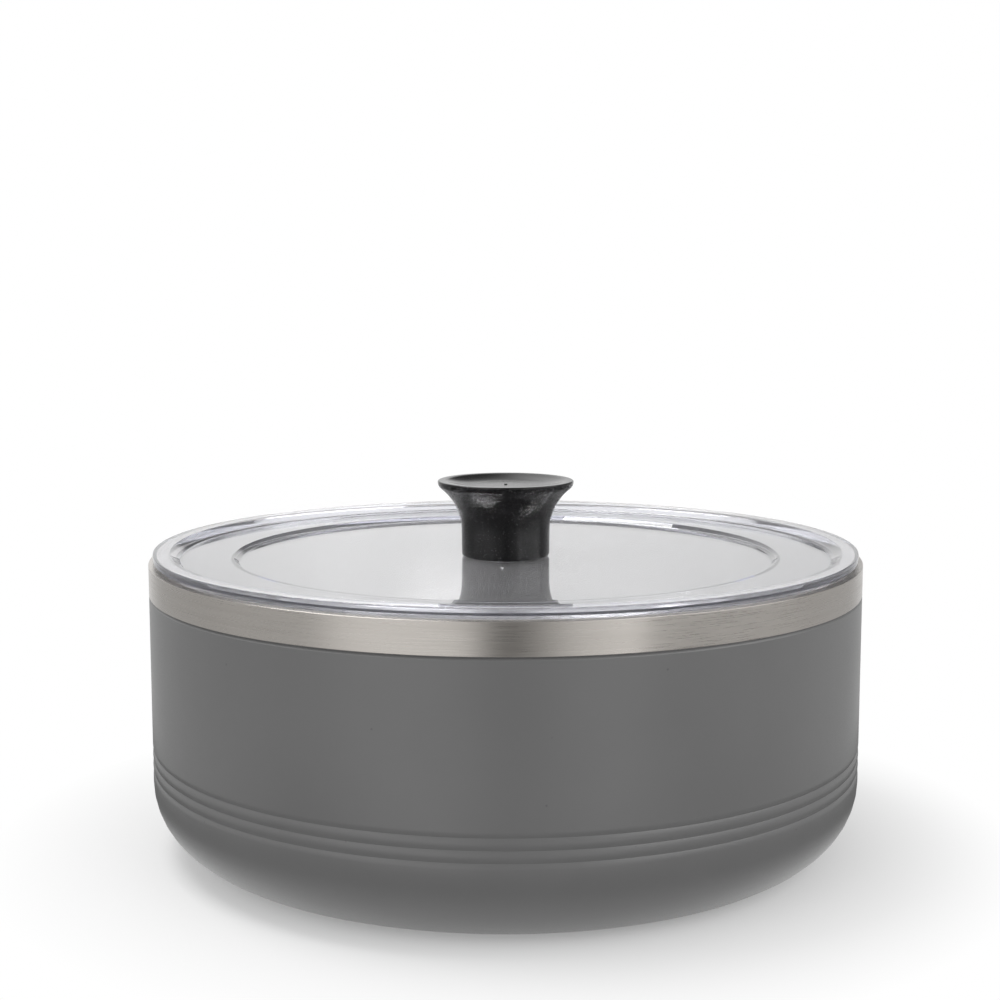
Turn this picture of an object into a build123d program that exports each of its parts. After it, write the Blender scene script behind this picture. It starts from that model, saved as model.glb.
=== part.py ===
from build123d import *
import os
from math import acos, asin, cos, degrees, hypot, sin, sqrt

# Double-walled steel serving bowl with a clear lift-off lid.
# Millimetres. The bowl stands on z = 0 and every piece is round about the Z axis, unless it says otherwise.

# Bowl
BOWL_DIAMETER = 260.0
RIM_HEIGHT = 104.8          # table to the flat of the rim
RIM_WIDTH = 8.0             # mouth of the liner to the outside of the band
RIM_ROUND = 0.8             # outer edge of the rim
MOUTH_BEVEL = 0.8           # inner edge of the rim
BAND_HEIGHT = 10.8          # flat of the rim to the lower edge of the bare steel band
SHEET = 0.6                 # drawn sheet of the shell and the liner
LAP_HEIGHT = 6.0            # shell inside the band
LAP_CLEARANCE = 0.05        # band to shell in the lap
SEAM_GAP = 0.3              # open seam under the band
JOGGLE_RUN = 0.7            # slope of the shell from the lap out to its wall
CORNER_RADIUS = 26.0        # outside of the shell, wall to foot
LINER_FLOOR = 9.0           # inside floor above the table
LINER_CORNER = 19.0         # inside of the liner, wall to floor

# Rolled grooves round the foot of the wall
GROOVE_COUNT = 3
GROOVE_PITCH = 4.0
GROOVE_DEPTH = 0.4
GROOVE_RISE = 2.2           # plain wall between the corner and the foot of the grooves

# Pressed bottom of the shell
FOOT_WIDTH = 16.0           # flat ring that the bowl stands on
RECESS_DEPTH = 2.2          # bottom inside the foot ring, above the table
RECESS_RUN = 3.0            # slope from the foot ring up to the bottom
CUP_DIAMETER = 24.0         # cup pressed up round the evacuation port
CUP_DEPTH = 2.0
CUP_RUN = 1.5
PORT_DIAMETER = 3.0
SEAL_DIAMETER = 10.0        # glass bead that closes the port
SEAL_DROP = 1.5
SEAL_CLEARANCE = 0.05       # plug of the bead to the port
COVER_THICKNESS = 0.8       # disc that covers the port
COVER_CLEARANCE = 0.5       # round the disc

# Fittings in the vacuum space
FOIL = 0.2
FOIL_CLEARANCE = 0.2        # foil to liner
FOIL_MARGIN = 4.0           # foil edge to the nearest bend of the liner
GETTER_DIAMETER = 12.0
GETTER_HEIGHT = 2.0
GETTER_CLEARANCE = 0.1      # getter to clip
CLIP_SHEET = 0.4
CLIP_WIDTH = 6.0
CLIP_FOOT = 5.0
GETTER_RADIUS = 45.0        # getter from the bowl's axis

# Lid
LID_INSET = 1.6             # edge of the lid in from the outside of the bowl
FLANGE_THICKNESS = 3.8
FLANGE_ROOT = 1.1           # inner edge of the flange, outside the plug
LID_CLEARANCE = 0.8         # plug to mouth
LID_WALL = 2.6
OUTER_STEP_DEPTH = 2.87     # flange down to the flat ring
INNER_STEP_DEPTH = 1.35     # flat ring down to the middle
OUTER_STEP_RUN = 3.6
INNER_STEP_RUN = 2.0
RING_WIDTH = 19.0           # flat ring between the two steps
RIB_DEPTH = 2.4             # locating rib under the ring, round the plug
RIB_WIDTH = 2.2
EDGE_BEVEL = 0.4            # top edge of the flange and foot of the rib
SEAT_BEVEL = 1.0            # lower edge of the flange, over the rim

# Knob
KNOB_HEIGHT = 27.9
KNOB_DIAMETER = 50.2
NECK_DIAMETER = 32.6        # where the flare starts
KNOB_BASE = 32.4            # diameter on the lid
FLARE_RADIUS = 20.0         # hollow side of the flare
BROW_RADIUS = 3.0           # full side of the flare, under the lip
LIP_BEVEL = 0.8
LIP_WIDTH = 3.4
DISH_DEPTH = 1.6
DISH_FLOOR = 19.0           # diameter of the flat in the dish
GATE_DIAMETER = 1.2         # moulding gate in the middle of the dish
GATE_DEPTH = 0.4
KNOB_WALL = 3.2
CORE_DEPTH = 12.0
BOSS_DIAMETER = 14.0

# Knob fastening
SCREW_DIAMETER = 4.0
SCREW_GRIP = 8.0            # thread in the insert
SCREW_CLEARANCE = 0.6       # hole in the lid, on the diameter
HEAD_DIAMETER = 8.0
HEAD_HEIGHT = 2.6
HEAD_BEVEL = 1.0
SLOT_WIDTH = 1.0
SLOT_LENGTH = 4.4
SLOT_DEPTH = 1.4
THREAD_CLEARANCE = 0.1      # on the diameter
INSERT_DIAMETER = 7.0
INSERT_LENGTH = 10.0
INSERT_CLEARANCE = 0.1      # on the diameter
WASHER_DIAMETER = 16.0
WASHER_THICKNESS = 0.8
SEAL_RING_DIAMETER = 18.0
SEAL_RING_THICKNESS = 1.0

# Radii and heights that follow
bowl_radius = BOWL_DIAMETER / 2
mouth_radius = bowl_radius - RIM_WIDTH
lap_radius = bowl_radius - SHEET - LAP_CLEARANCE
band_foot = RIM_HEIGHT - BAND_HEIGHT
seam_foot = band_foot - SEAM_GAP
groove_bottom = CORNER_RADIUS + GROOVE_RISE
groove_top = groove_bottom + GROOVE_COUNT * GROOVE_PITCH
foot_radius = bowl_radius - CORNER_RADIUS
recess_radius = foot_radius - FOOT_WIDTH - RECESS_RUN
cup_radius = CUP_DIAMETER / 2
port_radius = PORT_DIAMETER / 2
cup_roof = RECESS_DEPTH + CUP_DEPTH
bottom_top = RECESS_DEPTH + SHEET
liner_back = mouth_radius + SHEET
liner_under = LINER_FLOOR - SHEET

lid_radius = bowl_radius - LID_INSET
lid_top = RIM_HEIGHT + FLANGE_THICKNESS
ring_top = lid_top - OUTER_STEP_DEPTH
ring_under = ring_top - LID_WALL
rib_foot = ring_under - RIB_DEPTH
panel_top = ring_top - INNER_STEP_DEPTH
panel_under = panel_top - LID_WALL
plug_radius = mouth_radius - LID_CLEARANCE
flange_inner = plug_radius + FLANGE_ROOT
ring_outer = flange_inner - OUTER_STEP_RUN
ring_inner = ring_outer - RING_WIDTH
panel_radius = ring_inner - INNER_STEP_RUN
hole_radius = (SCREW_DIAMETER + SCREW_CLEARANCE) / 2
washer_top = panel_under - SEAL_RING_THICKNESS
head_top = washer_top - WASHER_THICKNESS


def turned(outline):
    """Solid turned about the Z axis from an outline of (radius, height)."""
    return revolve(Plane.XZ * outline, Axis.Z)


def sheet(path, thickness, side):
    """Outline of a sheet of even thickness on one side of a path."""
    return make_face(offset(path, amount=thickness, side=side, closed=True))


def washer(outer_diameter, inner_radius, bottom, thickness):
    """Flat ring with its lower face at the height bottom."""
    ring = Circle(outer_diameter / 2) - Circle(inner_radius)
    return Pos(0, 0, bottom) * extrude(ring, thickness)


def rolled_grooves():
    """Arcs down the outside of the shell that meet in sharp grooves, with a half arc at each end."""
    bead_radius = ((GROOVE_PITCH / 2) ** 2 + GROOVE_DEPTH ** 2) / (2 * GROOVE_DEPTH)
    turn = degrees(asin(GROOVE_PITCH / 2 / bead_radius))
    arcs = []
    for count in range(GROOVE_COUNT + 1):
        middle = groove_top - count * GROOVE_PITCH
        start = turn if count > 0 else 0
        end = -turn if count < GROOVE_COUNT else 0
        arcs.append(CenterArc((bowl_radius - bead_radius, middle), bead_radius, start, end - start))
    return arcs


def outer_shell():
    """Drawn shell: lap inside the band, wall with its grooves, corner, foot ring and cupped bottom."""
    wall = Polyline(
        (lap_radius, band_foot + LAP_HEIGHT),
        (lap_radius, seam_foot),
        (bowl_radius, seam_foot - JOGGLE_RUN),
        (bowl_radius, groove_top),
    )
    corner = FilletPolyline(
        (bowl_radius, groove_bottom),
        (bowl_radius, 0),
        (foot_radius - FOOT_WIDTH, 0),
        radius=CORNER_RADIUS,
    )
    bottom = Polyline(
        (foot_radius - FOOT_WIDTH, 0),
        (recess_radius, RECESS_DEPTH),
        (cup_radius, RECESS_DEPTH),
        (cup_radius - CUP_RUN, cup_roof),
        (port_radius, cup_roof),
    )
    path = Wire([*wall.edges(), *rolled_grooves(), *corner.edges(), *bottom.edges()])
    return turned(sheet(path, SHEET, Side.RIGHT))


def inner_liner():
    """Drawn liner, with its rim turned over into the bare band that laps the shell."""
    mouth = FilletPolyline(
        (0, LINER_FLOOR),
        (mouth_radius, LINER_FLOOR),
        (mouth_radius, RIM_HEIGHT - MOUTH_BEVEL),
        radius=LINER_CORNER,
    )
    bevel = Line((mouth_radius, RIM_HEIGHT - MOUTH_BEVEL), (mouth_radius + MOUTH_BEVEL, RIM_HEIGHT))
    band = FilletPolyline(
        (mouth_radius + MOUTH_BEVEL, RIM_HEIGHT),
        (bowl_radius, RIM_HEIGHT),
        (bowl_radius, band_foot),
        radius=RIM_ROUND,
    )
    path = Wire([*mouth.edges(), bevel, *band.edges()])
    return turned(sheet(path, SHEET, Side.RIGHT))


def seal_bead():
    """Glass bead under the port, with a plug in it."""
    plug = port_radius - SEAL_CLEARANCE
    dome_radius = (SEAL_DROP ** 2 + (SEAL_DIAMETER / 2) ** 2) / (2 * SEAL_DROP)
    half_turn = asin(SEAL_DIAMETER / 2 / dome_radius) / 2
    dome = (dome_radius * sin(half_turn), cup_roof - SEAL_DROP + dome_radius * (1 - cos(half_turn)))
    outline = Wire([
        Line((0, bottom_top + CUP_DEPTH), (plug, bottom_top + CUP_DEPTH)),
        Line((plug, bottom_top + CUP_DEPTH), (plug, cup_roof)),
        Line((plug, cup_roof), (SEAL_DIAMETER / 2, cup_roof)),
        ThreePointArc((SEAL_DIAMETER / 2, cup_roof), dome, (0, cup_roof - SEAL_DROP)),
        Line((0, cup_roof - SEAL_DROP), (0, bottom_top + CUP_DEPTH)),
    ])
    return turned(make_face(outline))


def base_cover():
    """Disc bonded into the recess of the bottom."""
    radius = recess_radius - COVER_CLEARANCE
    return Pos(0, 0, RECESS_DEPTH - COVER_THICKNESS) * extrude(Circle(radius), COVER_THICKNESS)


def wall_foil():
    """Foil wrapped round the straight wall of the liner."""
    bottom = LINER_FLOOR + LINER_CORNER + FOIL_MARGIN
    height = RIM_HEIGHT - MOUTH_BEVEL - FOIL_MARGIN - bottom
    inner = liner_back + FOIL_CLEARANCE
    return washer(2 * (inner + FOIL), inner, bottom, height)


def floor_foil():
    """Foil disc under the flat of the liner's floor."""
    radius = mouth_radius - LINER_CORNER - FOIL_MARGIN
    return Pos(0, 0, liner_under - FOIL_CLEARANCE - FOIL) * extrude(Circle(radius), FOIL)


def getter():
    """Getter pill on the bottom, off to one side of the port."""
    return Pos(GETTER_RADIUS, 0, bottom_top) * extrude(Circle(GETTER_DIAMETER / 2), GETTER_HEIGHT)


def getter_clip():
    """Bent strap over the getter, with a foot on each side."""
    half = GETTER_DIAMETER / 2 + GETTER_CLEARANCE
    roof = GETTER_HEIGHT + GETTER_CLEARANCE
    path = Polyline(
        (-half - CLIP_FOOT, 0),
        (-half, 0),
        (-half, roof),
        (half, roof),
        (half, 0),
        (half + CLIP_FOOT, 0),
    )
    strap = extrude(Plane.XZ * sheet(path, CLIP_SHEET, Side.LEFT), CLIP_WIDTH / 2, both=True)
    return Pos(GETTER_RADIUS, 0, bottom_top) * strap


def lid_panel():
    """Clear moulded lid: flange, two steps down to the middle, and a plug and rib in the mouth."""
    slope = hypot(INNER_STEP_RUN, INNER_STEP_DEPTH)
    shift = LID_WALL * (slope - INNER_STEP_RUN) / INNER_STEP_DEPTH
    outline = Polyline(
        (hole_radius, panel_top),
        (panel_radius, panel_top),
        (ring_inner, ring_top),
        (ring_outer, ring_top),
        (flange_inner, lid_top),
        (lid_radius - EDGE_BEVEL, lid_top),
        (lid_radius, lid_top - EDGE_BEVEL),
        (lid_radius, RIM_HEIGHT + SEAT_BEVEL),
        (lid_radius - SEAT_BEVEL, RIM_HEIGHT),
        (plug_radius, RIM_HEIGHT),
        (plug_radius, rib_foot + EDGE_BEVEL),
        (plug_radius - EDGE_BEVEL, rib_foot),
        (plug_radius - RIB_WIDTH, rib_foot),
        (plug_radius - RIB_WIDTH, ring_under),
        (ring_inner + shift, ring_under),
        (panel_radius + shift, panel_under),
        (hole_radius, panel_under),
        close=True,
    )
    return turned(make_face(outline))


def knob():
    """Flared knob with a dished top, cored out underneath round a boss for the insert."""
    neck = NECK_DIAMETER / 2
    top = KNOB_DIAMETER / 2
    lip_start = KNOB_HEIGHT - LIP_BEVEL
    # The two arcs of the flare touch where the line between their centres crosses them.
    across = neck + FLARE_RADIUS - (top - BROW_RADIUS)
    rise = sqrt((FLARE_RADIUS + BROW_RADIUS) ** 2 - across ** 2)
    flare_start = lip_start - rise
    turn = degrees(acos(across / (FLARE_RADIUS + BROW_RADIUS)))
    rim_inner = top - LIP_WIDTH
    dish_floor = KNOB_HEIGHT - DISH_DEPTH
    gate = GATE_DIAMETER / 2
    rest = Polyline(
        (top, lip_start),
        (top - LIP_BEVEL, KNOB_HEIGHT),
        (rim_inner, KNOB_HEIGHT),
        (DISH_FLOOR / 2, dish_floor),
        (gate, dish_floor),
        (0, dish_floor - GATE_DEPTH),
        (0, 0),
        (KNOB_BASE / 2, 0),
        (neck, flare_start),
    )
    outline = Wire([
        CenterArc((neck + FLARE_RADIUS, flare_start), FLARE_RADIUS, 180, -turn),
        CenterArc((top - BROW_RADIUS, lip_start), BROW_RADIUS, -turn, turn),
        *rest.edges(),
    ])
    core = washer(KNOB_BASE - 2 * KNOB_WALL, BOSS_DIAMETER / 2, 0, CORE_DEPTH)
    bore = extrude(Circle((INSERT_DIAMETER + INSERT_CLEARANCE) / 2), INSERT_LENGTH)
    return Pos(0, 0, panel_top) * (turned(make_face(outline)) - core - bore)


def knob_insert():
    """Threaded bush moulded into the knob's boss."""
    return washer(INSERT_DIAMETER, (SCREW_DIAMETER + THREAD_CLEARANCE) / 2, panel_top, INSERT_LENGTH)


def knob_screw():
    """Pan-head screw from below, through the washer, the seal and the lid."""
    length = panel_top + SCREW_GRIP - head_top
    shank = Pos(0, 0, head_top) * extrude(Circle(SCREW_DIAMETER / 2), length)
    head = Pos(0, 0, head_top - HEAD_HEIGHT) * extrude(Circle(HEAD_DIAMETER / 2), HEAD_HEIGHT)
    head = chamfer(head.edges().group_by(Axis.Z)[0], HEAD_BEVEL)
    slot = Rectangle(SLOT_LENGTH, SLOT_WIDTH) + Rectangle(SLOT_WIDTH, SLOT_LENGTH)
    recess = Pos(0, 0, head_top - HEAD_HEIGHT) * extrude(slot, SLOT_DEPTH)
    return shank + head - recess


pieces = {
    "outer_shell": outer_shell(),
    "inner_liner": inner_liner(),
    "seal_bead": seal_bead(),
    "base_cover": base_cover(),
    "wall_foil": wall_foil(),
    "floor_foil": floor_foil(),
    "getter": getter(),
    "getter_clip": getter_clip(),
    "lid_panel": lid_panel(),
    "knob": knob(),
    "knob_insert": knob_insert(),
    "knob_screw": knob_screw(),
    "knob_washer": washer(WASHER_DIAMETER, hole_radius, head_top, WASHER_THICKNESS),
    "knob_seal": washer(SEAL_RING_DIAMETER, hole_radius, washer_top, SEAL_RING_THICKNESS),
}

os.makedirs("parts", exist_ok=True)
for name, piece in pieces.items():
    export_step(piece, f"parts/{name}.step")
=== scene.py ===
import math

import bpy
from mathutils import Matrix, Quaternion, Vector


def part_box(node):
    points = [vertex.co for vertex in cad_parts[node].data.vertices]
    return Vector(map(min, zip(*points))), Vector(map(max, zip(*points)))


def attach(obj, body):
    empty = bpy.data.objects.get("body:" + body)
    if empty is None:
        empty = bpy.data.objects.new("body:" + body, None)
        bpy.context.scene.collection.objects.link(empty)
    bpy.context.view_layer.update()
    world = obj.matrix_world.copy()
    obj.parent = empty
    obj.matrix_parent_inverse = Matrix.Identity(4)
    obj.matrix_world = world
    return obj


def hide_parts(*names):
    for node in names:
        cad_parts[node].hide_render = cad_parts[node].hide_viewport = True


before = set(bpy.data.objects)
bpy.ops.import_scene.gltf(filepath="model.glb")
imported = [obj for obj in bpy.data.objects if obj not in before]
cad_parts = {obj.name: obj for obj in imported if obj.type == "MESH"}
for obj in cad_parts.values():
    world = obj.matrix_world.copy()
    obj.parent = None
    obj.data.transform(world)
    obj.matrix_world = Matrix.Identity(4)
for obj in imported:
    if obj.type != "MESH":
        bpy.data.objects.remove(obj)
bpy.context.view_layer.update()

# Sizes that the frame gives
bowl_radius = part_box("outer_shell")[1].x
shell_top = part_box("outer_shell")[1].z
rim_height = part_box("inner_liner")[1].z
liner_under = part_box("inner_liner")[0].z
lid_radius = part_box("lid_panel")[1].x
lid_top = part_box("lid_panel")[1].z
rib_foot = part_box("lid_panel")[0].z
panel_top, knob_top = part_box("knob")[0].z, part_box("knob")[1].z
knob_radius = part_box("knob")[1].x
cover_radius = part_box("base_cover")[1].x
cover_under, cover_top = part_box("base_cover")[0].z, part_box("base_cover")[1].z

# Bowl
SHEET = 0.0006
RIM_WIDTH = 0.008
RIM_ROUND = 0.00015
MOUTH_BEVEL = 0.0008
MOUTH_ROUND = 0.0008        # rounding at both ends of the bevel
MOUTH_BACK_ROUND = 0.0003   # the same on the hidden side of the sheet
BAND_HEIGHT = 0.0108
BAND_LIP = 0.0002           # rounding of the band's cut edge
LAP_INSET = 0.00065
LAP_ROUND = 0.0003
SEAM_GAP = 0.0003
JOGGLE_RUN = 0.0007
JOGGLE_ROUND = 0.0005
CORNER_RADIUS = 0.026
LINER_CORNER = 0.019
GROOVE_COUNT = 3
GROOVE_PITCH = 0.004
GROOVE_DEPTH = 0.0004
GROOVE_RISE = 0.0022
FOOT_WIDTH = 0.016
FOOT_ROUND = 0.002          # inner edge of the foot ring
RECESS_RUN = 0.003
RECESS_ROUND = 0.001
CUP_RADIUS = 0.012
CUP_DEPTH = 0.002
CUP_RUN = 0.0015
CUP_ROUND = 0.0008
PORT_RADIUS = 0.0015
COVER_ROUND = 0.0002

# Lid
LID_CLEARANCE = 0.0008
FLANGE_ROOT = 0.0011
FLANGE_FILLET = 0.0003      # between the plug's side and the flange
LID_WALL = 0.0026
INNER_STEP_DEPTH = 0.00135
OUTER_STEP_RUN = 0.0036
INNER_STEP_RUN = 0.002
RING_WIDTH = 0.019
PANEL_SINK = 0.00035        # how far the middle lies deeper than the plain step
HOLE_RADIUS = 0.0023
RIB_WIDTH = 0.0022
RIB_FILLET = 0.0004
RIB_ROUND = 0.0002          # inner lower edge of the rib
SEAT_BEVEL = 0.0013
BEVEL_ROUND = 0.0002
EDGE_ROUND = 0.0003
STEP_ROUND = 0.0005
STEP_FOOT = 0.001           # rounding at the foot of the outer step
SEAT_GAP = 0.0001           # air under a clear face that rests on another

# Knob
KNOB_BASE = 0.0162
BASE_ROUND = 0.0012
NECK_RADIUS = 0.0163
FLARE_RADIUS = 0.020
BROW_RADIUS = 0.003
LIP_ROUND = 0.0005
LIP_WIDTH = 0.0028
DISH_DEPTH = 0.0017
DISH_FLOOR = 0.0105
GATE_RADIUS = 0.00065
GATE_TAPER = 0.8            # top of the gate's nub, as a share of its foot
GATE_HEIGHT = 0.0003
GATE_ROUND = 0.0001
KNOB_WALL = 0.0032
CORE_DEPTH = 0.012
CORE_ROUND = 0.0006
INNER_EDGE_ROUND = 0.0002   # lower edges of the bore and of the wall's inside
BOSS_RADIUS = 0.007
BOSS_ROUND = 0.0003
INSERT_BORE = 0.00355
INSERT_LENGTH = 0.010

# Mesh fineness
SEGMENTS = 320
KNOB_SEGMENTS = 160
ARC_STEP = math.radians(9)
KNOB_STEP = math.radians(3)
DISH_STEP = math.radians(1.5)
SHARP_ANGLE = math.radians(35)
ON_AXIS = 1e-6

# Camera
CAMERA_DISTANCE = 0.640
CAMERA_TILT = math.radians(7.22)
AIM_HEIGHT = 0.1248
LENS_MM = 62.3
SENSOR_MM = 36.0
SHIFT_X = -0.00565


# Making of meshes

def rounded(corners):
    """Outline points from corners of (radius, height, rounding). A rounding of 0 leaves the corner sharp."""
    points = []
    for index, (radius, height, rounding) in enumerate(corners):
        corner = Vector((radius, height))
        if rounding == 0:
            points.append(corner)
            continue
        before = Vector(corners[index - 1][:2]) - corner
        after = Vector(corners[(index + 1) % len(corners)][:2]) - corner
        half = before.angle(after) / 2
        bisector = (before.normalized() + after.normalized()).normalized()
        centre = corner + bisector * rounding / math.sin(half)
        start = corner + before.normalized() * rounding / math.tan(half) - centre
        turn = math.pi - 2 * half
        if before.x * after.y - before.y * after.x > 0:
            turn = -turn
        steps = max(2, math.ceil(abs(turn) / ARC_STEP))
        for step in range(steps + 1):
            angle = turn * step / steps
            points.append(centre + Vector((
                start.x * math.cos(angle) - start.y * math.sin(angle),
                start.x * math.sin(angle) + start.y * math.cos(angle),
            )))
    return points


def arc(centre, radius, start, end, step=ARC_STEP):
    """Points of an arc from one angle to another, in radians."""
    steps = max(2, math.ceil(abs(end - start) / step))
    angles = [start + (end - start) * count / steps for count in range(steps + 1)]
    return [Vector((centre[0] + radius * math.cos(a), centre[1] + radius * math.sin(a))) for a in angles]


def lathe(name, outline, segments=SEGMENTS):
    """Closed mesh turned about the Z axis from an outline that runs anticlockwise in (radius, height)."""
    vertices = []
    rings = []
    for radius, height in outline:
        start = len(vertices)
        if radius < ON_AXIS:
            vertices.append((0, 0, height))
            rings.append([start] * segments)
            continue
        for count in range(segments):
            angle = 2 * math.pi * count / segments
            vertices.append((radius * math.cos(angle), radius * math.sin(angle), height))
        rings.append(list(range(start, start + segments)))
    faces = []
    for lower, upper in zip(rings, rings[1:] + rings[:1]):
        for count in range(segments):
            following = (count + 1) % segments
            corners = dict.fromkeys((lower[count], lower[following], upper[following], upper[count]))
            if len(corners) > 2:
                faces.append(tuple(corners))
    mesh = bpy.data.meshes.new(name)
    mesh.from_pydata(vertices, [], faces)
    return smooth_piece(name, mesh)


def smooth_piece(name, mesh):
    """Object of a mesh with smooth shading, sharp only at hard corners."""
    mesh.validate()
    mesh.shade_smooth()
    mesh.set_sharp_from_angle(angle=SHARP_ANGLE)
    piece = bpy.data.objects.new(name, mesh)
    bpy.context.scene.collection.objects.link(piece)
    weighted = piece.modifiers.new("weighted_normals", "WEIGHTED_NORMAL")
    weighted.keep_sharp = True
    return piece


def dress(piece, node, body, material):
    """Puts a piece in the place of a node, on its body, with its finish."""
    piece.data.materials.append(material)
    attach(piece, body)
    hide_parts(node)


# Shapes

def outer_shell():
    """Coated sheet with a recessed bottom, rolled grooves, and an upper edge set in under the band."""
    foot_radius = bowl_radius - CORNER_RADIUS
    recess_radius = foot_radius - FOOT_WIDTH - RECESS_RUN
    band_foot = rim_height - BAND_HEIGHT
    lap_radius = bowl_radius - LAP_INSET
    seam_foot = band_foot - SEAM_GAP
    groove_bottom = CORNER_RADIUS + GROOVE_RISE
    inner = bowl_radius - SHEET
    bead_radius = ((GROOVE_PITCH / 2) ** 2 + GROOVE_DEPTH ** 2) / (2 * GROOVE_DEPTH)
    turn = math.asin(GROOVE_PITCH / 2 / bead_radius)
    grooves = arc((bowl_radius - bead_radius, groove_bottom), bead_radius, 0, turn)
    for count in range(1, GROOVE_COUNT + 1):
        middle = (bowl_radius - bead_radius, groove_bottom + count * GROOVE_PITCH)
        grooves += arc(middle, bead_radius, -turn, turn if count < GROOVE_COUNT else 0)[1:]
    outside = rounded([
        (PORT_RADIUS, cover_top + CUP_DEPTH, 0),
        (CUP_RADIUS - CUP_RUN, cover_top + CUP_DEPTH, CUP_ROUND),
        (CUP_RADIUS, cover_top, CUP_ROUND),
        (recess_radius, cover_top, RECESS_ROUND),
        (foot_radius - FOOT_WIDTH, 0, FOOT_ROUND),
        (bowl_radius, 0, CORNER_RADIUS),
        (bowl_radius, groove_bottom, 0),
    ])[:-1]
    top = rounded([
        (bowl_radius, groove_bottom + GROOVE_COUNT * GROOVE_PITCH, 0),
        (bowl_radius, seam_foot - JOGGLE_RUN, JOGGLE_ROUND),
        (lap_radius, seam_foot, LAP_ROUND),
        (lap_radius, shell_top, 0),
        (lap_radius - SHEET, shell_top, 0),
        (lap_radius - SHEET, seam_foot - SHEET, 0),
        (inner, seam_foot - JOGGLE_RUN - SHEET, 0),
        (inner, SHEET, CORNER_RADIUS - SHEET),
        (foot_radius - FOOT_WIDTH, SHEET, 0),
        (recess_radius, cover_top + SHEET, 0),
        (CUP_RADIUS, cover_top + SHEET, 0),
        (CUP_RADIUS - CUP_RUN, cover_top + SHEET + CUP_DEPTH, 0),
        (PORT_RADIUS, cover_top + SHEET + CUP_DEPTH, 0),
    ])[1:]
    return lathe("coated_shell", outside + grooves + top)


def inner_liner():
    """Bare sheet of the inside, turned over at the rim into the band."""
    mouth = bowl_radius - RIM_WIDTH
    floor_top = liner_under + SHEET
    band_foot = rim_height - BAND_HEIGHT
    return lathe("steel_liner", rounded([
        (0, floor_top, 0),
        (0, liner_under, 0),
        (mouth + SHEET, liner_under, LINER_CORNER + SHEET),
        (mouth + SHEET, rim_height - MOUTH_BEVEL - SHEET, MOUTH_BACK_ROUND),
        (mouth + MOUTH_BEVEL + SHEET, rim_height - SHEET, MOUTH_BACK_ROUND),
        (bowl_radius - SHEET, rim_height - SHEET, 0),
        (bowl_radius - SHEET, band_foot, BAND_LIP),
        (bowl_radius, band_foot, BAND_LIP),
        (bowl_radius, rim_height, RIM_ROUND),
        (mouth + MOUTH_BEVEL, rim_height, MOUTH_ROUND),
        (mouth, rim_height - MOUTH_BEVEL, MOUTH_ROUND),
        (mouth, floor_top, LINER_CORNER),
    ]))


def lid_panel():
    """Clear disc in two steps, with a flange on the rim and a rib that centres it in the mouth."""
    plug = bowl_radius - RIM_WIDTH - LID_CLEARANCE
    flange_inner = plug + FLANGE_ROOT
    ring_outer = flange_inner - OUTER_STEP_RUN
    ring_inner = ring_outer - RING_WIDTH
    panel = ring_inner - INNER_STEP_RUN
    ring_top = panel_top + INNER_STEP_DEPTH
    ring_under = ring_top - LID_WALL
    panel_face = panel_top - PANEL_SINK
    panel_under = panel_top - LID_WALL
    seat = rim_height + SEAT_GAP
    slope = math.hypot(INNER_STEP_RUN, INNER_STEP_DEPTH)
    shift = LID_WALL * (slope - INNER_STEP_RUN) / INNER_STEP_DEPTH
    return lathe("clear_lid", rounded([
        (HOLE_RADIUS, panel_face, 0),
        (HOLE_RADIUS, panel_under, 0),
        (panel + shift, panel_under, STEP_ROUND),
        (ring_inner + shift, ring_under, STEP_ROUND),
        (plug - RIB_WIDTH, ring_under, RIB_FILLET),
        (plug - RIB_WIDTH, rib_foot, RIB_ROUND),
        (plug, rib_foot, EDGE_ROUND),
        (plug, seat, FLANGE_FILLET),
        (lid_radius - SEAT_BEVEL, seat, BEVEL_ROUND),
        (lid_radius, seat + SEAT_BEVEL, BEVEL_ROUND),
        (lid_radius, lid_top, EDGE_ROUND),
        (flange_inner, lid_top, EDGE_ROUND),
        (ring_outer, ring_top, STEP_FOOT),
        (ring_inner, ring_top, STEP_ROUND),
        (panel, panel_face, STEP_ROUND),
    ]))


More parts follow.
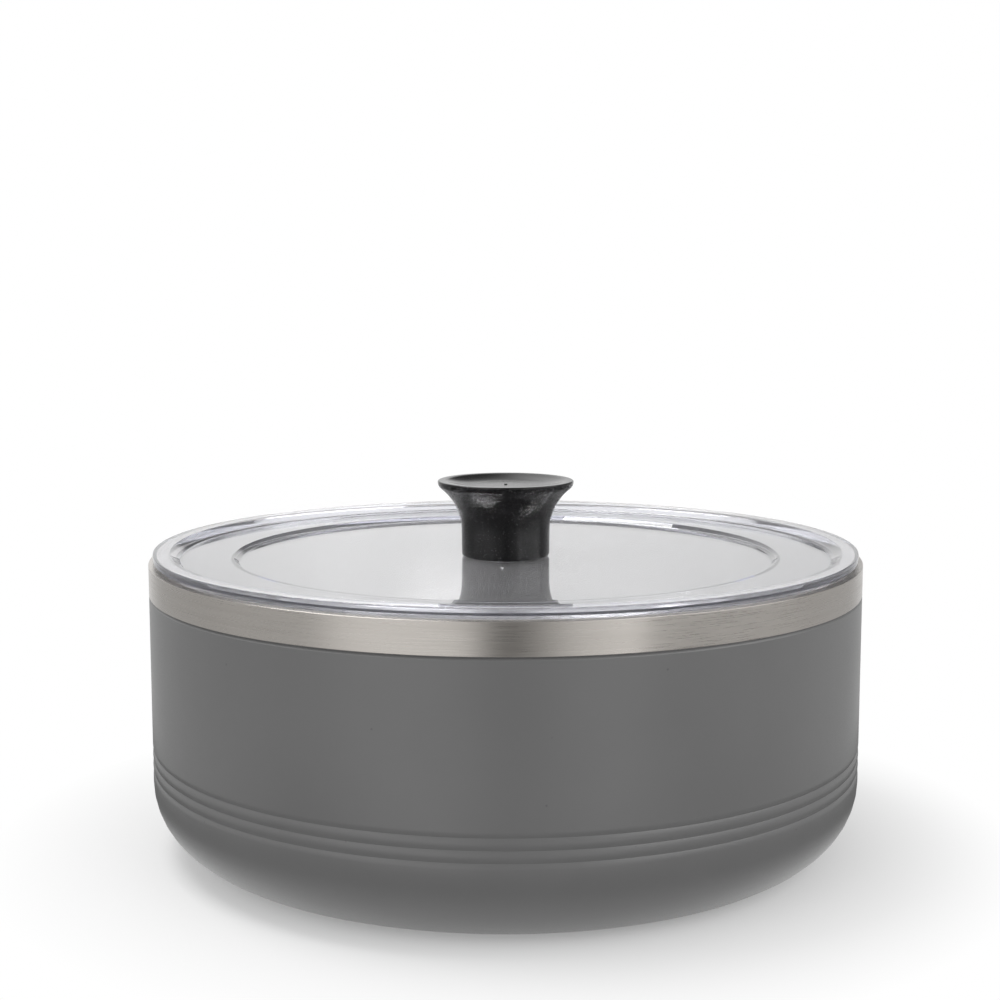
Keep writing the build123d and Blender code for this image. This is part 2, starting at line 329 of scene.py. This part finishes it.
def knob():
    """Flared knob with a hollow top, and from below a hollow core round the boss of the bush."""
    lip_start = knob_top - LIP_ROUND
    across = NECK_RADIUS + FLARE_RADIUS - (knob_radius - BROW_RADIUS)
    reach = FLARE_RADIUS + BROW_RADIUS
    flare_start = lip_start - math.sqrt(reach ** 2 - across ** 2)
    turn = math.acos(across / reach)
    base = panel_top - PANEL_SINK + SEAT_GAP
    bore_end = panel_top + INSERT_LENGTH
    dish = knob_top - DISH_DEPTH
    underside = rounded([
        (0, bore_end, 0),
        (INSERT_BORE, bore_end, 0),
        (INSERT_BORE, base, INNER_EDGE_ROUND),
        (BOSS_RADIUS, base, BOSS_ROUND),
        (BOSS_RADIUS, base + CORE_DEPTH, CORE_ROUND),
        (KNOB_BASE - KNOB_WALL, base + CORE_DEPTH, CORE_ROUND),
        (KNOB_BASE - KNOB_WALL, base, INNER_EDGE_ROUND),
        (KNOB_BASE, base, BASE_ROUND),
        (NECK_RADIUS, flare_start, 0),
    ])[:-1]
    flare = arc((NECK_RADIUS + FLARE_RADIUS, flare_start), FLARE_RADIUS, math.pi, math.pi - turn, KNOB_STEP)
    brow = arc((knob_radius - BROW_RADIUS, lip_start), BROW_RADIUS, -turn, 0, KNOB_STEP)[1:]
    lip = arc((knob_radius - LIP_ROUND, lip_start), LIP_ROUND, 0, math.pi / 2)[1:]
    hollow_width = knob_radius - LIP_WIDTH - DISH_FLOOR
    hollow_radius = (hollow_width ** 2 + DISH_DEPTH ** 2) / (2 * DISH_DEPTH)
    hollow_turn = math.asin(hollow_width / hollow_radius)
    down = -math.pi / 2
    hollow = arc((DISH_FLOOR, dish + hollow_radius), hollow_radius, down + hollow_turn, down, DISH_STEP)
    gate = rounded([
        (DISH_FLOOR, dish, 0),
        (GATE_RADIUS, dish, GATE_ROUND),
        (GATE_RADIUS * GATE_TAPER, dish + GATE_HEIGHT, GATE_ROUND),
        (0, dish + GATE_HEIGHT, 0),
    ])[1:]
    return lathe("black_knob", underside + flare + brow + lip + hollow + gate, KNOB_SEGMENTS)


def base_cover():
    """Disc in the recess under the bowl."""
    return lathe("base_disc", rounded([
        (0, cover_under, 0),
        (cover_radius, cover_under, COVER_ROUND),
        (cover_radius, cover_top, 0),
        (0, cover_top, 0),
    ]))


# Making of node trees. The owner of a tree is a material or a world.

NOISE_LOW, NOISE_HIGH = 0.3, 0.7        # range that a noise mostly keeps to


def grey(level):
    """Neutral colour of one level."""
    return (level, level, level, 1)


def finish(name, **values):
    """Material with a principled shader, and that shader, with the values of its sockets."""
    material = bpy.data.materials.new(name)
    material.use_nodes = True
    shader = material.node_tree.nodes["Principled BSDF"]
    for socket, value in values.items():
        shader.inputs[socket.replace("_", " ")].default_value = value
    return material, shader


def add(owner, kind, **values):
    """New node in a tree, with the values of its sockets."""
    node = owner.node_tree.nodes.new(kind)
    for socket, value in values.items():
        node.inputs[socket.replace("_", " ")].default_value = value
    return node


def join(owner, *pairs):
    """Links from outputs to inputs."""
    for out, into in pairs:
        owner.node_tree.links.new(out, into)


def feed(owner, sockets, values):
    """Gives each input its value, which is another socket or a plain value."""
    for socket, value in zip(sockets, values):
        if isinstance(value, bpy.types.NodeSocket):
            join(owner, (value, socket))
        else:
            socket.default_value = value


def calculated(owner, operation, *values):
    """Result of a maths node on sockets or plain numbers."""
    node = add(owner, "ShaderNodeMath")
    node.operation = operation
    feed(owner, node.inputs, values)
    return node.outputs["Value"]


def vector_maths(owner, operation, *values):
    """Outputs of a maths node on sockets or plain vectors."""
    node = add(owner, "ShaderNodeVectorMath")
    node.operation = operation
    feed(owner, node.inputs, values)
    return node.outputs


def blended(owner, share, first, second):
    """Number that goes from the first to the second as the share goes from 0 to 1."""
    node = add(owner, "ShaderNodeMix")
    feed(owner, [node.inputs[name] for name in ("Factor", "A", "B")], (share, first, second))
    return node.outputs["Result"]


def mixed(owner, share, first, second):
    """Colour that goes from the first to the second as the share goes from 0 to 1."""
    node = add(owner, "ShaderNodeMix")
    node.data_type = "RGBA"
    colours = [socket for socket in node.inputs if socket.type == "RGBA"]
    feed(owner, [node.inputs["Factor"], *colours], (share, first, second))
    return next(socket for socket in node.outputs if socket.type == "RGBA")


def between(owner, value, low, high, start=NOISE_LOW, end=NOISE_HIGH):
    """Number that goes from low to high as the value goes from start to end, and no further."""
    node = add(owner, "ShaderNodeMapRange", From_Min=start, From_Max=end, To_Min=low, To_Max=high)
    join(owner, (value, node.inputs["Value"]))
    return node.outputs["Result"]


def object_place(material):
    """Place on the object, in metres, which moves with it."""
    return add(material, "ShaderNodeTexCoord").outputs["Object"]


def radius_of(material, place):
    """Distance from the Z axis."""
    flat = vector_maths(material, "MULTIPLY", place, (1, 1, 0))["Vector"]
    return vector_maths(material, "LENGTH", flat)["Value"]


def around(material, place, along, across):
    """Coordinates that run slowly round the Z axis and fast across it, as brush marks do."""
    split = add(material, "ShaderNodeSeparateXYZ")
    joined = add(material, "ShaderNodeCombineXYZ")
    crossing = calculated(material, "SUBTRACT", split.outputs["Z"], radius_of(material, place))
    join(
        material,
        (place, split.inputs["Vector"]),
        (split.outputs["X"], joined.inputs["X"]),
        (split.outputs["Y"], joined.inputs["Y"]),
        (crossing, joined.inputs["Z"]),
    )
    return vector_maths(material, "MULTIPLY", joined.outputs["Vector"], (along, along, across))["Vector"]


def noise(material, place, scale, detail=3, roughness=0.5):
    """Noise value at a place, with a scale in cells for each unit of it."""
    node = add(material, "ShaderNodeTexNoise", Scale=scale, Detail=detail, Roughness=roughness)
    join(material, (place, node.inputs["Vector"]))
    return node.outputs["Fac"]


def specks(material, place, scale, size):
    """1 on small specks and 0 elsewhere, about one for each cell of the scale."""
    node = add(material, "ShaderNodeTexVoronoi", Scale=scale)
    join(material, (place, node.inputs["Vector"]))
    return between(material, node.outputs["Distance"], 1, 0, size / 2, size)


def shade(material, value, dark, light):
    """Colour from dark to light over the range of a noise value."""
    node = add(material, "ShaderNodeValToRGB")
    first, last = node.color_ramp.elements
    first.position, first.color = NOISE_LOW, dark
    last.position, last.color = NOISE_HIGH, light
    join(material, (value, node.inputs["Fac"]))
    return node.outputs["Color"]


def bump(material, shader, height, strength, distance):
    """Relief of a shader from a height, with a strength that is a socket or a plain number."""
    node = add(material, "ShaderNodeBump", Distance=distance)
    feed(material, [node.inputs["Strength"], node.inputs["Height"]], (strength, height))
    join(material, (node.outputs["Normal"], shader.inputs["Normal"]))


# Finishes. Scales are in cells for each metre. A relief is a bump's strength and its distance.

COAT_DARK, COAT_LIGHT = grey(0.137), grey(0.143)
COAT_SPECK = grey(0.1)
COAT_IOR = 1.55
COAT_CLOUD_SCALE = 35
COAT_GRAIN_SCALE = 2600
COAT_PEEL_SCALE = 600
COAT_SPECK_SCALE, COAT_SPECK_SIZE = 75, 0.035
COAT_ROUGHNESS = (0.3, 0.38)
COAT_RELIEF = (0.12, 0.00003)

# Steel, where the band and the rim count as the band, and all that lies nearer the axis as the inside
BAND_DARK, BAND_LIGHT = (0.49, 0.462, 0.43, 1), (0.56, 0.53, 0.497, 1)
# The inside's satin is real, but its tone, paler than the band's steel of the same sheet, is painted light
# that brightens the inside seen through the lid
PAINTED_LIGHT_INSIDE_DARK, PAINTED_LIGHT_INSIDE_LIGHT = (0.75, 0.745, 0.735, 1), (0.8, 0.795, 0.785, 1)
INSIDE_METAL, BAND_METAL = 0.85, 1.0
INSIDE_ROUGHNESS = (0.17, 0.22)
BAND_ROUGHNESS = (0.24, 0.36)
INSIDE_RELIEF, BAND_RELIEF = 0.02, 0.1
STREAK_DEPTH = 0.00002
STREAK_ROUGHNESS = 0.6
STREAK_SCALES = (60, 2600)              # along and across the brush marks
TONE_SCALES = (9, 420)
MOUTH_BLEND = 0.0004                    # run over which the inside turns into the outside
BRUSHING, BRUSHING_TURN = 0.75, 0.25

CLEAR_TINT = (0.988, 0.99, 1.0, 1)
CLEAR_DEPTH = (0.78, 0.8, 1.0, 1)
CLEAR_DENSITY = 22
CLEAR_IOR = 1.5
CLEAR_WEIGHT = 0.95
HAZE_SCALE, HAZE_DETAIL = 60, 4
HAZE_ROUGHNESS = (0.0, 0.015)
HAZE_START, HAZE_END = 0.45, 0.8

KNOB_DARK, KNOB_LIGHT = (0.0035, 0.0035, 0.0036, 1), (0.0055, 0.0055, 0.0056, 1)
KNOB_DUST = grey(0.03)
KNOB_DUST_SCALE, KNOB_DUST_SIZE = 1400, 0.2
KNOB_SPECK = grey(0.055)
KNOB_SPECK_SCALE, KNOB_SPECK_SIZE = 800, 0.17
KNOB_IOR = 1.4
KNOB_CLOUD_SCALE = 120
KNOB_GRAIN_SCALE, KNOB_GRAIN_ROUGHNESS = 2200, 0.6
KNOB_ROUGHNESS = (0.15, 0.2)
KNOB_RELIEF = (0.06, 0.00002)

PLAIN_RELIEF = (0.15, 0.00003)


def powder_coat():
    """Matt grey coat with a faint peel, grain and a few specks."""
    material, shader = finish("powder_coat", IOR=COAT_IOR)
    place = object_place(material)
    cloud = noise(material, place, COAT_CLOUD_SCALE)
    grain = noise(material, place, COAT_GRAIN_SCALE, detail=2)
    peel = noise(material, place, COAT_PEEL_SCALE, detail=2)
    colour = shade(material, cloud, COAT_DARK, COAT_LIGHT)
    speck = specks(material, place, COAT_SPECK_SCALE, COAT_SPECK_SIZE)
    join(
        material,
        (mixed(material, speck, colour, COAT_SPECK), shader.inputs["Base Color"]),
        (between(material, grain, *COAT_ROUGHNESS), shader.inputs["Roughness"]),
    )
    bump(material, shader, peel, *COAT_RELIEF)
    return material


def brushed_steel():
    """Fine brush marks on the band and the rim, and on all steel nearer the axis a satin whose paler tone is
    painted light.
    """
    material, shader = finish("brushed_steel", Anisotropic=BRUSHING, Anisotropic_Rotation=BRUSHING_TURN)
    place = object_place(material)
    streaks = noise(material, around(material, place, *STREAK_SCALES), 1, roughness=STREAK_ROUGHNESS)
    tones = noise(material, around(material, place, *TONE_SCALES), 1)
    mouth = bowl_radius - RIM_WIDTH
    outside = between(material, radius_of(material, place), 0, 1, mouth, mouth + MOUTH_BLEND)
    # Painted light: the inside is painted paler than the band to brighten it
    satin_and_painted_light = mixed(material, tones, PAINTED_LIGHT_INSIDE_DARK, PAINTED_LIGHT_INSIDE_LIGHT)
    marked = mixed(material, tones, BAND_DARK, BAND_LIGHT)
    satin_roughness = between(material, tones, *INSIDE_ROUGHNESS)
    marked_roughness = between(material, streaks, *BAND_ROUGHNESS)
    tangent = add(material, "ShaderNodeTangent")
    tangent.direction_type = "RADIAL"
    tangent.axis = "Z"
    join(
        material,
        (mixed(material, outside, satin_and_painted_light, marked), shader.inputs["Base Color"]),
        (between(material, outside, INSIDE_METAL, BAND_METAL, 0, 1), shader.inputs["Metallic"]),
        (blended(material, outside, satin_roughness, marked_roughness), shader.inputs["Roughness"]),
        (tangent.outputs["Tangent"], shader.inputs["Tangent"]),
    )
    relief = between(material, outside, INSIDE_RELIEF, BAND_RELIEF, 0, 1)
    bump(material, shader, streaks, relief, STREAK_DEPTH)
    return material


def clear_plastic():
    """Clear plastic with a little haze, and a cool tint where it is seen edge on."""
    material, shader = finish(
        "clear_plastic", Base_Color=CLEAR_TINT, IOR=CLEAR_IOR, Transmission_Weight=CLEAR_WEIGHT
    )
    haze = noise(material, object_place(material), HAZE_SCALE, detail=HAZE_DETAIL)
    depth = add(material, "ShaderNodeVolumeAbsorption", Color=CLEAR_DEPTH, Density=CLEAR_DENSITY)
    output = material.node_tree.nodes["Material Output"]
    join(
        material,
        (between(material, haze, *HAZE_ROUGHNESS, HAZE_START, HAZE_END), shader.inputs["Roughness"]),
        (depth.outputs["Volume"], output.inputs["Volume"]),
    )
    return material


def black_plastic():
    """Black plastic with a fine grain, dust and specks."""
    material, shader = finish("black_plastic", IOR=KNOB_IOR)
    place = object_place(material)
    grain = noise(material, place, KNOB_GRAIN_SCALE, roughness=KNOB_GRAIN_ROUGHNESS)
    cloud = noise(material, place, KNOB_CLOUD_SCALE)
    colour = shade(material, cloud, KNOB_DARK, KNOB_LIGHT)
    dust = specks(material, place, KNOB_DUST_SCALE, KNOB_DUST_SIZE)
    speck = specks(material, place, KNOB_SPECK_SCALE, KNOB_SPECK_SIZE)
    dusty = mixed(material, dust, colour, KNOB_DUST)
    join(
        material,
        (mixed(material, speck, dusty, KNOB_SPECK), shader.inputs["Base Color"]),
        (between(material, grain, *KNOB_ROUGHNESS), shader.inputs["Roughness"]),
    )
    bump(material, shader, grain, *KNOB_RELIEF)
    return material


def plain_finish(name, dark, light, scale, **values):
    """Simple finish with a little uneven colour and relief."""
    material, shader = finish(name, **values)
    cloud = noise(material, object_place(material), scale)
    join(material, (shade(material, cloud, dark, light), shader.inputs["Base Color"]))
    bump(material, shader, cloud, *PLAIN_RELIEF)
    return material


steel = brushed_steel()
coat = powder_coat()
clear = clear_plastic()
black = black_plastic()
brass = plain_finish(
    "brass", dark=(0.62, 0.42, 0.16, 1), light=(0.74, 0.52, 0.24, 1), scale=900, Metallic=1.0, Roughness=0.3
)
silicone = plain_finish(
    "silicone", dark=(0.62, 0.63, 0.64, 1), light=(0.7, 0.71, 0.72, 1), scale=500, Roughness=0.6
)
glass = plain_finish(
    "solder_glass", dark=(0.28, 0.3, 0.26, 1), light=(0.36, 0.38, 0.34, 1), scale=600, Roughness=0.15
)
foil = plain_finish(
    "foil", dark=(0.75, 0.75, 0.76, 1), light=(0.85, 0.85, 0.86, 1), scale=300, Metallic=1.0, Roughness=0.2
)
alloy = plain_finish(
    "getter_alloy", dark=grey(0.12), light=grey(0.2), scale=1500, Metallic=0.6, Roughness=0.7
)

dress(outer_shell(), "outer_shell", "bowl", coat)
dress(inner_liner(), "inner_liner", "bowl", steel)
dress(base_cover(), "base_cover", "bowl", steel)
dress(lid_panel(), "lid_panel", "lid", clear)
dress(knob(), "knob", "lid", black)

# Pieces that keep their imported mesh
for node, material in {
    "seal_bead": glass,
    "wall_foil": foil,
    "floor_foil": foil,
    "getter": alloy,
    "getter_clip": steel,
    "knob_insert": brass,
    "knob_screw": steel,
    "knob_washer": steel,
    "knob_seal": silicone,
}.items():
    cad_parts[node].data.materials.clear()
    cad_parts[node].data.materials.append(material)


# Stage

scene = bpy.context.scene
scene.view_settings.view_transform = "Standard"

FLOOR_HALF = 0.2
FLOOR_TONE, FLOOR_ROUGHNESS = 0.66, 0.9
SHADOW_NEAR, SHADOW_FAR = 0.11, 0.19    # radii between which the shadow fades into white
SHADOW_WHITE = 0.3                      # share of white where the shadow is deepest

# Painted reflection: the floor glows for glossy rays at levels set by radius, with painted shade under the
# bowl, white near its edge, and dark farther out
PAINTED_SHADE_UNDER, PAINTED_REFLECTION_OUT = 0.45, 0.12
MIRROR_EDGE = (0.109, 0.12)             # radii over which it brightens
MIRROR_FADE = (0.127, 0.152)            # radii over which it darkens

# Light levels by direction round the bowl, in degrees from the camera's side, the right counted positive
ZONES = [
    (-180, 1.0), (-175, 1.08), (-168, 0.97), (-160, 0.87), (-140, 0.51), (-62, 0.52), (-50, 0.93),
    (-28, 1.05), (-12, 1.0), (-3, 0.14), (3, 0.14), (21, 0.84), (40, 1.06), (45, 0.4), (64, 0.38),
    (90, 0.46), (120, 0.55), (140, 0.52), (160, 0.86), (180, 1.0),
]
OVER_BACK = [(-180, 0.35), (-178, 1.0), (-120, 1.0), (120, 0.08), (178, 0.08), (180, 0.35)]
OVERHEAD = [
    (-180, 0.6), (-80, 0.65), (-50, 0.65), (-30, 0.42), (40, 0.42), (60, 0.65), (85, 0.35), (105, 0.35),
    (122, 0.75), (150, 0.75), (180, 0.6),
]
ZENITH = 0.17
BEHIND_CLEAR = 0.93                     # the pale surroundings as seen through the lid

# Where one level gives way to the next, by how far a unit direction points back or up
OVER_BACK_REACH, OVER_BACK_RISE = (0.5, 0.8), (0.18, 0.25)
OVERHEAD_LEAN = (0, -0.2, 1)            # up, and somewhat to the camera's side
OVERHEAD_RISE = (0.42, 0.58)
ZENITH_RISE = (0.9, 0.96)
BEHIND_REACH, BEHIND_RISE = (0.1, 0.3), (0.3, 0.42)


def floor():
    """Pale floor that keeps the shadow near the bowl and turns white away from it, and that glows for glossy
    rays as a painted reflection.
    """
    corners = [(-1, -1), (1, -1), (1, 1), (-1, 1)]
    mesh = bpy.data.meshes.new("floor")
    mesh.from_pydata([(FLOOR_HALF * x, FLOOR_HALF * y, 0) for x, y in corners], [], [(0, 1, 2, 3)])
    plane = bpy.data.objects.new("floor", mesh)
    scene.collection.objects.link(plane)
    material, shader = finish("pale_floor", Base_Color=grey(FLOOR_TONE), Roughness=FLOOR_ROUGHNESS)
    mesh.materials.append(material)
    path = add(material, "ShaderNodeLightPath").outputs
    direct, glossy, through = path["Is Camera Ray"], path["Is Glossy Ray"], path["Is Transmission Ray"]
    radius = radius_of(material, object_place(material))
    away = between(material, radius, SHADOW_WHITE, 1, SHADOW_NEAR, SHADOW_FAR)
    shown = calculated(material, "MULTIPLY", calculated(material, "MAXIMUM", direct, through), away)
    # Painted shade under the bowl and painted darkening farther out, in the floor's glow for glossy rays
    painted_shade_under = between(material, radius, PAINTED_SHADE_UNDER, 1, *MIRROR_EDGE)
    beyond = between(material, radius, 1, PAINTED_REFLECTION_OUT, *MIRROR_FADE)
    painted_reflection = calculated(material, "MULTIPLY", painted_shade_under, beyond)
    mirror_only = calculated(material, "GREATER_THAN", glossy, through)
    unmirrored = between(material, through, 1, BEHIND_CLEAR, 0, 1)
    white = add(material, "ShaderNodeEmission", Color=grey(1))
    mix = add(material, "ShaderNodeMixShader")
    output = material.node_tree.nodes["Material Output"]
    join(material, (blended(material, mirror_only, unmirrored, painted_reflection), white.inputs["Strength"]))
    share = calculated(material, "MAXIMUM", shown, glossy)
    feed(material, mix.inputs, (share, shader.outputs["BSDF"], white.outputs["Emission"]))
    join(material, (mix.outputs["Shader"], output.inputs["Surface"]))


def by_angle(world, turn, levels):
    """Light level by direction round the bowl, from a list of (degrees, level)."""
    ramp = add(world, "ShaderNodeValToRGB")
    stops = ramp.color_ramp.elements
    while len(stops) < len(levels):
        stops.new(1.0)
    for stop, (angle, level) in zip(stops, levels):
        stop.position = (angle + 180) / 360
        stop.color = grey(level)
    join(world, (between(world, turn, 0, 1, -math.pi, math.pi), ramp.inputs["Fac"]))
    return ramp.outputs["Color"]


def studio():
    """White backdrop for the camera, and light levels round and over the bowl that its faces mirror."""
    world = bpy.data.worlds.new("studio")
    world.use_nodes = True
    scene.world = world
    direction = add(world, "ShaderNodeTexCoord").outputs["Generated"]
    split = add(world, "ShaderNodeSeparateXYZ")
    join(world, (direction, split.inputs["Vector"]))
    right, back, up = split.outputs
    turn = calculated(world, "ARCTAN2", right, calculated(world, "MULTIPLY", back, -1))
    far_back = between(world, back, 0, 1, *OVER_BACK_REACH)
    raised = between(world, up, 0, 1, *OVER_BACK_RISE)
    over_back = calculated(world, "MULTIPLY", far_back, raised)
    low = mixed(world, over_back, by_angle(world, turn, ZONES), by_angle(world, turn, OVER_BACK))
    leaning = vector_maths(world, "DOT_PRODUCT", direction, OVERHEAD_LEAN)["Value"]
    high = between(world, leaning, 0, 1, *OVERHEAD_RISE)
    slanting = mixed(world, high, low, by_angle(world, turn, OVERHEAD))
    around_bowl = mixed(world, between(world, up, 0, 1, *ZENITH_RISE), slanting, grey(ZENITH))
    path = add(world, "ShaderNodeLightPath").outputs
    to_back = between(world, back, 0, 1, *BEHIND_REACH)
    not_high = between(world, up, 1, 0, *BEHIND_RISE)
    behind = calculated(world, "MAXIMUM", to_back, not_high)
    through = calculated(world, "MULTIPLY", path["Is Transmission Ray"], behind)
    dimmed = mixed(world, through, around_bowl, grey(BEHIND_CLEAR))
    background = world.node_tree.nodes["Background"]
    join(world, (mixed(world, path["Is Camera Ray"], dimmed, grey(1)), background.inputs["Color"]))


def softbox(name, azimuth, elevation, distance, width, height, watts, roll=0):
    """Area lamp that faces the bowl, placed by its direction from it. Azimuth 0 is the camera's side."""
    lamp = bpy.data.lights.new(name, "AREA")
    lamp.shape = "RECTANGLE"
    lamp.size = width
    lamp.size_y = height
    lamp.energy = watts
    holder = bpy.data.objects.new(name, lamp)
    scene.collection.objects.link(holder)
    side, rise = math.radians(azimuth), math.radians(elevation)
    away = Vector((
        math.sin(side) * math.cos(rise),
        -math.cos(side) * math.cos(rise),
        math.sin(rise),
    ))
    aim = Vector((0, 0, rim_height / 2))
    holder.location = aim + away * distance
    facing = (-away).to_track_quat("-Z", "Y")
    holder.rotation_euler = (facing @ Quaternion((0, 0, 1), math.radians(roll))).to_euler()


def camera():
    """Camera at the photograph's viewing angle."""
    data = bpy.data.cameras.new("camera")
    data.lens = LENS_MM
    data.sensor_width = SENSOR_MM
    data.shift_x = SHIFT_X
    data.dof.use_dof = False
    holder = bpy.data.objects.new("camera", data)
    scene.collection.objects.link(holder)
    back = Vector((0, -math.cos(CAMERA_TILT), math.sin(CAMERA_TILT)))
    holder.location = Vector((0, 0, AIM_HEIGHT)) + back * CAMERA_DISTANCE
    holder.rotation_euler = (-back).to_track_quat("-Z", "Y").to_euler()
    scene.camera = holder


floor()
studio()
softbox(
    "left_softbox", azimuth=-108.8, elevation=65, distance=1.4, width=0.54, height=0.83, watts=13, roll=-34.6
)
softbox("left_fill", azimuth=-62, elevation=28, distance=1.6, width=1.8, height=1.1, watts=5)
softbox("right_fill", azimuth=66, elevation=30, distance=1.6, width=2.0, height=1.3, watts=15)
camera()
